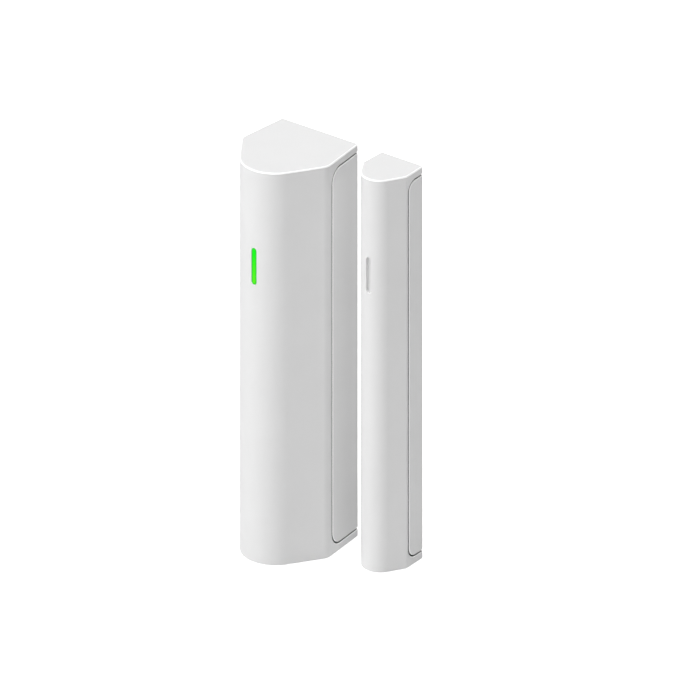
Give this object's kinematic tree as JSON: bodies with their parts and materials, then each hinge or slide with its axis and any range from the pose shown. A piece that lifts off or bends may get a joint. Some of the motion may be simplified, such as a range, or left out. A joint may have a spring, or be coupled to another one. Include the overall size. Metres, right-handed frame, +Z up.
{
  "type": "door contact sensor",
  "caption": "White door contact sensor: a tall sensor unit with a green indicator window and a slim magnet unit, each sliding onto a wall plate.",
  "frame": {"origin": "on the wall plane, at the middle of the back of the sensor unit's wall plate", "axes": "+X to the right across the door towards the magnet unit, +Y into the wall, +Z up"},
  "size_m": [0.0377, 0.0231, 0.09],
  "materials": {
    "casing_white": "satin moulded, fine even texture",
    "plate_white": "satin moulded",
    "tape_foam": "matte foam",
    "light_guide": "clear moulded, lit green",
    "board_green": "solder mask",
    "part_black": "matte moulded",
    "steel": "bright rolled",
    "copper": "bare wire",
    "reed_glass": "clear",
    "led_package": "clear moulded",
    "chip_parts": "fired",
    "cell_sleeve": "printed film",
    "terminal_green": "moulded",
    "brass": "plated",
    "button_grey": "moulded",
    "magnet_nickel": "nickel plated",
    "foam_dark": "open foam"
  },
  "bodies": {
    "sensor_plate": {"sensor_wall_plate": "plate_white", "sensor_wall_tape": "tape_foam"},
    "sensor_unit": {"sensor_rear_cover": "casing_white", "sensor_housing": "casing_white", "light_guide": "light_guide", "circuit_board": "board_green", "indicator_led": "led_package", "microcontroller": "part_black", "radio_shield": "steel", "board_passives": "chip_parts", "antenna_coil": "copper", "main_reed_glass": "reed_glass", "main_reed_leads": "steel", "secondary_reed_glass": "reed_glass", "secondary_reed_leads": "steel", "battery_cell": "steel", "battery_sleeve": "cell_sleeve", "battery_cap": "brass", "battery_spring": "steel", "battery_negative_contact": "steel", "battery_positive_contact": "steel", "tamper_switch": "part_black", "tamper_spring": "steel", "power_switch": "steel", "terminal_block": "terminal_green", "terminal_clamps": "brass", "board_screws": "steel", "cover_screw": "steel"},
    "tamper_plunger": {"tamper_plunger": "button_grey"},
    "power_button": {"power_button": "button_grey"},
    "left_terminal_screw": {"left_terminal_screw": "steel"},
    "right_terminal_screw": {"right_terminal_screw": "steel"},
    "main_reed_blade": {"main_reed_blade": "steel"},
    "secondary_reed_blade": {"secondary_reed_blade": "steel"},
    "magnet_plate": {"magnet_wall_plate": "plate_white", "magnet_wall_tape": "tape_foam"},
    "magnet_unit": {"magnet_rear_cover": "casing_white", "magnet_housing": "casing_white", "magnet_bar": "magnet_nickel", "magnet_foam_pad": "foam_dark"}
  },
  "joints": [
    {"name": "sensor_lift", "type": "slide", "parent": "sensor_plate", "child": "sensor_unit", "axis": [0, 0, 1], "range_m": [0, 0.008]},
    {"name": "tamper_travel", "type": "slide", "parent": "sensor_unit", "child": "tamper_plunger", "axis": [0, 1, 0], "range_m": [0, 0.0012], "deforming": ["tamper_spring"]},
    {"name": "power_press", "type": "slide", "parent": "sensor_unit", "child": "power_button", "axis": [0, -1, 0], "range_m": [0, 0.0004]},
    {"name": "left_terminal_turn", "type": "hinge", "parent": "sensor_unit", "child": "left_terminal_screw", "pos_m": [-0.0034, -0.0045, 0.0365], "axis": [0, 1, 0], "continuous": true},
    {"name": "right_terminal_turn", "type": "hinge", "parent": "sensor_unit", "child": "right_terminal_screw", "pos_m": [0.0004, -0.0045, 0.0365], "axis": [0, 1, 0], "continuous": true},
    {"name": "door_opening", "type": "slide", "parent": "sensor_plate", "child": "magnet_plate", "axis": [0, -1, 0], "range_m": [0, 0.06]},
    {"name": "magnet_lift", "type": "slide", "parent": "magnet_plate", "child": "magnet_unit", "axis": [0, 0, 1], "range_m": [0, 0.008]},
    {"name": "main_reed_bend", "type": "hinge", "parent": "sensor_unit", "child": "main_reed_blade", "pos_m": [0.006, -0.00711, 0.01875], "axis": [-1, 0, 0], "range_deg": [0, 1.5]},
    {"name": "secondary_reed_bend", "type": "hinge", "parent": "sensor_unit", "child": "secondary_reed_blade", "pos_m": [-0.006, -0.00711, 0.01875], "axis": [-1, 0, 0], "range_deg": [0, 1.5]}
  ],
  "couplings": [
    {"joint": "tamper_travel", "follows": "sensor_lift", "ratio": 0.15},
    {"joint": "main_reed_bend", "follows": "door_opening", "rad_per_m": 0.4359},
    {"joint": "secondary_reed_bend", "follows": "door_opening", "rad_per_m": 0.4359}
  ]
}
